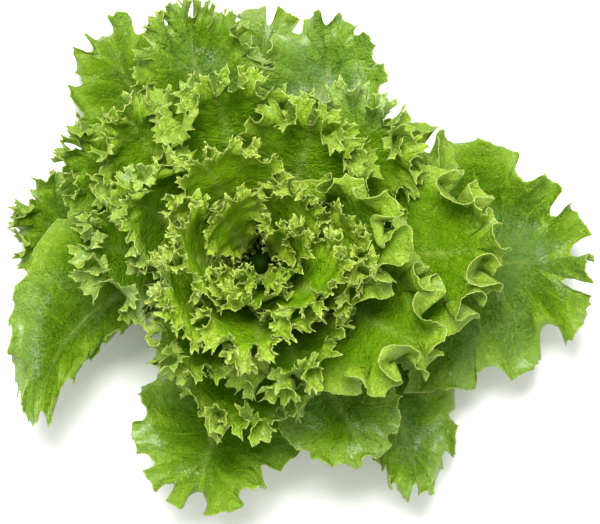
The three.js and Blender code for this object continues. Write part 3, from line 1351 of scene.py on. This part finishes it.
    def thicken(self, piece: bpy.types.Object, shares: np.ndarray) -> None:
        """Give the blade its thickness, which is greatest in the rib.

        Args:
            piece: The leaf as an open sheet, which is changed.
            shares: The thickness of each point as a share of the thickest place.
        """
        group = piece.vertex_groups.new(name="thickness")
        levels = np.round(np.clip(shares, 0, 1) * self.THICKNESS_LEVELS).astype(int)
        for level in np.unique(levels):
            places = np.flatnonzero(levels == level).tolist()
            group.add(places, level / self.THICKNESS_LEVELS, "REPLACE")
        single = len(piece.data.vertices)
        select_only(piece)
        bpy.ops.object.modifier_add(type="SOLIDIFY")
        wall = piece.modifiers[-1]
        wall.thickness = self.THICKEST * MM * (0.4 + 0.6 * (1 - self.leaf.rank))
        wall.offset = -1
        wall.vertex_group = group.name
        wall.use_quality_normals = True
        bpy.ops.object.modifier_apply(modifier=wall.name)
        bpy.ops.object.shade_smooth()
        piece.vertex_groups.clear()
        under = np.zeros(len(piece.data.vertices), np.float32)
        under[single:] = 1
        piece.data.attributes.new("under", "FLOAT", "POINT").data.foreach_set("value", under)


def select_only(piece: bpy.types.Object) -> None:
    """Select one object and make it the active one.

    Args:
        piece: The object.
    """
    bpy.ops.object.select_all(action="DESELECT")
    piece.select_set(True)
    bpy.context.view_layer.objects.active = piece


@dataclass
class Rosette:
    """All leaves, from the outside in.

    Each leaf has its heading, length and half width, and then its bend and lean, its
    strength and its ruffle where these aren't the usual ones.
    """

    outer: tuple = (
        (90, 128, 36),
        (127, 140, 38, -4),
        (167, 114, 37, 0, 0, 0.8, Ruffle.FINE),
        (320, 124, 27, -17, 0.4),
        (2, 150, 66),
        (254, 110, 43),
        (108, 128, 36, 0, 0, 1.0, Ruffle.FINE),
        (183, 124, 40, 34, -0.62, 0.6),
        (70, 122, 36, 3),
        (299, 101, 32, 0, 0, 0.5),
        (148, 108, 36, 0, 0, 1.0, Ruffle.FINE),
        (33, 105, 32, 0, 0, 1.0, Ruffle.BROAD),
    )
    middle: tuple = (
        (134, 104, 40),
        (2, 118, 50, 0, 0, 1.0, Ruffle.BROAD),
        (264, 90, 36),
        (50, 104, 42),
        (176, 98, 33),
        (330, 106, 44, 0, 0, 0.9, Ruffle.BROAD),
        (105, 104, 42),
        (234, 84, 29),
        (67, 92, 44),
        (158, 96, 38),
        (288, 90, 36),
        (8, 94, 36, 0, 0, 0.75, Ruffle.BROAD),
    )
    heart: tuple = (
        (217, 84, 34),
        (354, 82, 34),
        (122, 86, 38),
        (270, 88, 36),
        (47, 64, 28),
        (186, 84, 34, 0, 0, 0.8),
        (322, 82, 34),
        (138, 62, 42, 0, 0, 0.4),
        (256, 72, 30, 0, 0, 0.8),
        (350, 62, 27, 0, 0, 0.7),
        (276, 52, 23, 0, 0, 0.6),
        (32, 48, 20, 0, 0, 0.6),
    )
    leaves: list[Leaf] = field(default_factory=list)

    def plan(self) -> None:
        """List the leaves with their sizes."""
        rings = {Ring.OUTER: self.outer, Ring.MIDDLE: self.middle, Ring.HEART: self.heart}
        last = sum(len(rows) for rows in rings.values()) - 1
        for ring, rows in rings.items():
            for number, sizes in enumerate(rows, 1):
                name = f"{ring.value}_leaf_{number:02d}"
                order = len(self.leaves)
                self.leaves.append(Leaf(name, order, order / last, ring, *sizes))

    def build(self, skins: dict) -> None:
        """Grow and dress every leaf.

        Args:
            skins: The material of each ring.
        """
        self.plan()
        for leaf in self.leaves:
            sheet = Sheet(leaf, Room(leaf, self.leaves), seed=leaf.order * 101)
            sheet.grow(coarse=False)
            piece = LeafMesh(leaf, sheet).build(skins[leaf.ring])
            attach(piece, "root")
            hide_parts(leaf.name)
            LOG.info("%s: %d faces", piece.name, len(piece.data.polygons))


@dataclass
class Stem:
    """The stem: a cut stump that tapers into the crown which carries the leaves.

    Attributes:
        sides: The number of its sides.
        hollow: How far the middle of the cut face is drawn in.
        shoulder: The height up to which its skin is scarred.
        weld: Within which distance points are merged, in metres.
    """

    sides: int = 96
    hollow: float = 0.6
    shoulder: float = 24.0
    weld: float = 0.00001

    def build(self, finish: StemFinish) -> bpy.types.Object:
        """Make the stem.

        Args:
            finish: Its skin.

        Returns:
            The stem.
        """
        low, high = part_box("stem")
        reach = (high.x - low.x) / 2 / MM
        top = high.z / MM
        profile = [(0, self.hollow), (reach * 0.55, 0.35), (reach * 0.88, 0), (reach * 0.96, 0.9)]
        profile += [(reach, 2.6), (reach, 12), (reach * 0.86, self.shoulder)]
        profile += [(5.0, top - 4), (0, top)]
        mesh = bpy.data.meshes.new("trimmed_stem")
        points = [(radius * MM, 0, height * MM) for radius, height in profile]
        mesh.from_pydata(points, [(i, i + 1) for i in range(len(points) - 1)], [])
        piece = bpy.data.objects.new("trimmed_stem", mesh)
        bpy.context.scene.collection.objects.link(piece)
        select_only(piece)
        bpy.ops.object.mode_set(mode="EDIT")
        bpy.ops.mesh.select_all(action="SELECT")
        bpy.ops.mesh.spin(steps=self.sides, angle=TURN, center=(0, 0, 0), axis=(0, 0, 1))
        bpy.ops.mesh.remove_doubles(threshold=self.weld)
        bpy.ops.mesh.select_all(action="SELECT")
        bpy.ops.mesh.normals_make_consistent(inside=False)
        bpy.ops.object.mode_set(mode="OBJECT")
        bpy.ops.object.modifier_add(type="SUBSURF")
        rounding = piece.modifiers[-1]
        rounding.levels = rounding.render_levels = 1
        bpy.ops.object.modifier_apply(modifier=rounding.name)
        # the spin leaves a point for each side at both poles
        bpy.ops.object.mode_set(mode="EDIT")
        bpy.ops.mesh.select_all(action="SELECT")
        bpy.ops.mesh.remove_doubles(threshold=self.weld)
        bpy.ops.object.mode_set(mode="OBJECT")
        bpy.ops.object.shade_smooth_by_angle(angle=math.radians(50))
        mesh.materials.append(finish.build(low.z, self.shoulder * MM))
        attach(piece, "root")
        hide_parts("stem")
        LOG.info("%s: %d faces", piece.name, len(piece.data.polygons))
        return piece


# ---------------------------------------------------------------- studio


@dataclass
class Studio:
    """The floor, the soft lights and the camera that looks down on the rosette.

    Attributes:
        aim: The place that the camera looks at, in metres.
        distance: How far it is from there, in metres.
        elevation: How high it stands over the front, in degrees.
        focal_length: The focal length of its lens, in millimetres.
        floor_reach: Half the width of the floor, in metres.
        sky_tint: The colour of the light from all round.
        sky_strength: How strong that light is.
    """

    aim: tuple[float, float, float] = (0.0185, 0.0092, 0.0013)
    distance: float = 0.9
    elevation: float = 82.0
    focal_length: float = 105.0
    floor_reach: float = 3.0
    sky_tint: tuple[float, float, float] = (0.96, 0.98, 0.95)
    sky_strength: float = 0.79

    def floor(self, finish: FloorFinish) -> None:
        """Lay the floor.

        Args:
            finish: Its paint.
        """
        bpy.ops.mesh.primitive_plane_add(size=2 * self.floor_reach, location=(0, 0, 0))
        plane = bpy.context.active_object
        plane.name = "pale_floor"
        plane.data.materials.append(finish.build())

    def light(self, name: str, place: tuple, size: float, watts: float) -> None:
        """Hang a square soft light that faces the rosette.

        Args:
            name: Its name.
            place: Where it hangs, in metres.
            size: How wide it is, in metres.
            watts: Its power.
        """
        lamp = bpy.data.lights.new(name, "AREA")
        lamp.size = size
        lamp.energy = watts
        piece = bpy.data.objects.new(name, lamp)
        piece.location = place
        piece.rotation_euler = (-Vector(place)).to_track_quat("-Z", "Y").to_euler()
        bpy.context.scene.collection.objects.link(piece)

    def build(self) -> None:
        """Set up the floor, the lights, the sky and the camera."""
        self.floor(FloorFinish())
        self.light("window_light", (-0.06, 0.36, 1.1), 0.5, 20.2)
        self.light("fill_light", (0.8, -0.5, 0.9), 1.2, 2.5)
        world = bpy.data.worlds.new("studio")
        bpy.context.scene.world = world
        world.use_nodes = True
        sky = world.node_tree.nodes["Background"]
        sky.inputs["Color"].default_value = (*self.sky_tint, 1.0)
        sky.inputs["Strength"].default_value = self.sky_strength
        bpy.context.scene.view_settings.view_transform = "Standard"
        lens = bpy.data.cameras.new("camera")
        lens.sensor_width = 36.0
        lens.lens = self.focal_length
        camera = bpy.data.objects.new("camera", lens)
        rise = math.radians(self.elevation)
        back = Vector((0, -math.cos(rise), math.sin(rise)))
        camera.location = Vector(self.aim) + back * self.distance
        camera.rotation_euler = (-back).to_track_quat("-Z", "Y").to_euler()
        bpy.context.scene.collection.objects.link(camera)
        bpy.context.scene.camera = camera


def main() -> None:
    """Build the lettuce and its studio, and note its size."""
    logging.basicConfig(level=logging.INFO, format="%(message)s")
    outer = LeafFinish(
        name="outer_leaf_skin",
        depth=(62, 94, 0),
        blade=(94, 130, 0),
        frill=(136, 176, 26),
        edge=(196, 214, 100),
        rib=(168, 192, 84),
        painted_sheen=(146, 184, 122),
        frill_reach=24.0,
        sheen_reach=120.0,
        sheen_share=0.2,
    )
    middle = LeafFinish(
        name="middle_leaf_skin",
        depth=(84, 130, 0),
        blade=(108, 152, 0),
        frill=(158, 196, 36),
        edge=(210, 226, 112),
        rib=(168, 196, 80),
        painted_sheen=(176, 208, 152),
        frill_reach=20.0,
        sheen_reach=26.0,
        sheen_share=0.35,
    )
    heart = LeafFinish(
        name="heart_leaf_skin",
        depth=(98, 152, 0),
        blade=(142, 192, 0),
        frill=(182, 214, 44),
        edge=(220, 234, 122),
        rib=(190, 210, 90),
        painted_sheen=(200, 224, 160),
        frill_reach=16.0,
        sheen_reach=12.0,
        sheen_share=0.35,
    )
    finishes = {Ring.OUTER: outer, Ring.MIDDLE: middle, Ring.HEART: heart}
    Studio().build()
    Stem().build(StemFinish())
    Rosette().build({ring: finish.build() for ring, finish in finishes.items()})


if __name__ == "__main__":
    main()
